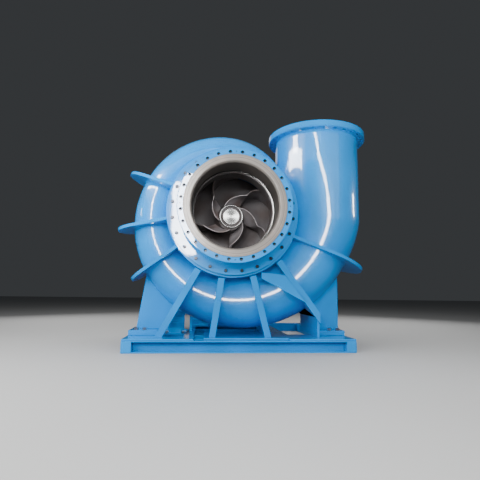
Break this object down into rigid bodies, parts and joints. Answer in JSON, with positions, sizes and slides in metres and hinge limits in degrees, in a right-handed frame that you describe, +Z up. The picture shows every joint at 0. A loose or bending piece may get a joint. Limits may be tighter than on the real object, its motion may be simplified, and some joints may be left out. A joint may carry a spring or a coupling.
{
  "type": "dry-installed volute pump",
  "caption": "Horizontal end-suction volute pump with ribbed scroll casing, upright discharge and open suction eye, on a steel base frame.",
  "frame": {"origin": "underside of the base frame, under the pump axis at the scroll's middle plane", "axes": "+X to the right as seen from the suction side, +Y along the pump axis from suction to drive end, +Z up"},
  "size_m": [3.1356, 2.794, 2.693],
  "materials": {
    "paint": "gloss sky-blue paint on cast and welded steel",
    "machined": "bare machined, warm grey",
    "polished": "turned and polished stainless steel",
    "dark_iron": "dark brown-black cast iron",
    "motor_grey": "grey cast end shield"
  },
  "bodies": {
    "frame": {"volute_start": "paint", "volute_upper": "paint", "volute_left": "paint", "volute_lower_left": "paint", "volute_lower_right": "paint", "volute_throat": "paint", "discharge_pipe": "paint", "discharge_flange": "paint", "suction_flange": "paint", "suction_cover": "paint", "casing_front_flange": "paint", "casing_rear_flange": "paint", "rib_upper_left": "paint", "rib_left": "paint", "rib_lower_left": "paint", "rib_right": "paint", "leg_1": "paint", "leg_2": "paint", "leg_3": "paint", "leg_4": "paint", "leg_strut": "paint", "support_left": "paint", "support_right": "paint", "foot_left": "paint", "foot_right": "paint", "base_front_beam": "paint", "base_rear_beam": "paint", "base_left_beam": "paint", "base_right_beam": "paint", "base_inner_left": "paint", "base_inner_right": "paint", "base_cross_legs": "paint", "base_cross_front": "paint", "base_cross_middle": "paint", "base_cross_rear": "paint", "deck_left": "paint", "deck_middle": "paint", "deck_right": "paint", "rear_cover": "paint", "bearing_bracket": "paint", "bearing_housing": "paint", "bearing_end_cover": "paint", "bearing_pedestal": "paint", "pedestal_foot": "paint", "unit_plate": "paint", "unit_motor": "paint", "unit_bracket": "paint", "unit_pump": "paint", "suction_face_ring": "machined", "wear_ring": "polished", "unit_motor_shield": "motor_grey"},
    "rotor": {"impeller": "dark_iron", "impeller_nut": "polished", "shaft": "machined", "coupling_half": "dark_iron"}
  },
  "joints": [
    {"name": "rotor_spin", "type": "hinge", "parent": "frame", "child": "rotor", "pos_m": [0, 0, 1.57], "axis": [0, 1, 0], "continuous": true}
  ]
}
